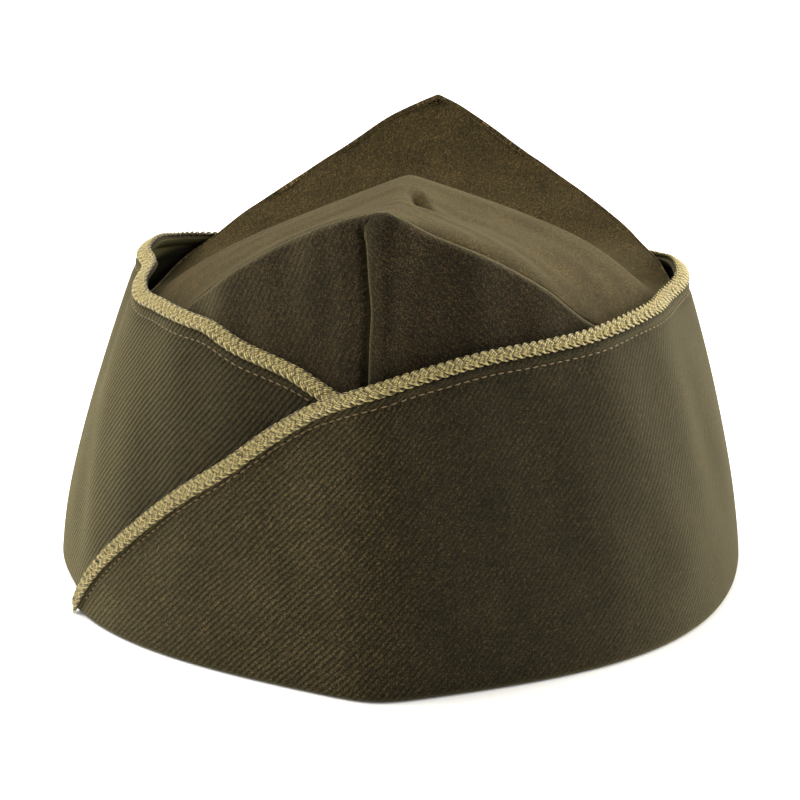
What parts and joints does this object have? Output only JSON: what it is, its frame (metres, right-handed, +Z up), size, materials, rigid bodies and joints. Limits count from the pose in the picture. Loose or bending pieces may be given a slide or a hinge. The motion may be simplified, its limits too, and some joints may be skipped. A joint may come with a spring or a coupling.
{
  "type": "garrison cap",
  "caption": "Soft peaked wool garrison cap with turned-up curtain flaps that cross at the front and are edged with braid, open below for the head.",
  "frame": {"origin": "centre of the cap's footprint, on the plane of its lower edge", "axes": "+Z up from the lower edge to the peaks, -Y towards the front peak, +X towards the wearer's left"},
  "size_m": [0.1962, 0.2008, 0.1245],
  "materials": {
    "crown_twill": "matt olive drab wool twill with a faint nap",
    "curtain_twill": "matt olive drab wool twill with a faint nap",
    "cord_braid": "plaited khaki and gold cotton braid, slightly lustrous"
  },
  "bodies": {
    "root": {"crown_left": "crown_twill", "crown_right": "crown_twill", "crown_top": "crown_twill", "curtain_over": "curtain_twill", "curtain_under": "curtain_twill", "braid_over": "cord_braid", "braid_under": "cord_braid"}
  },
  "joints": []
}
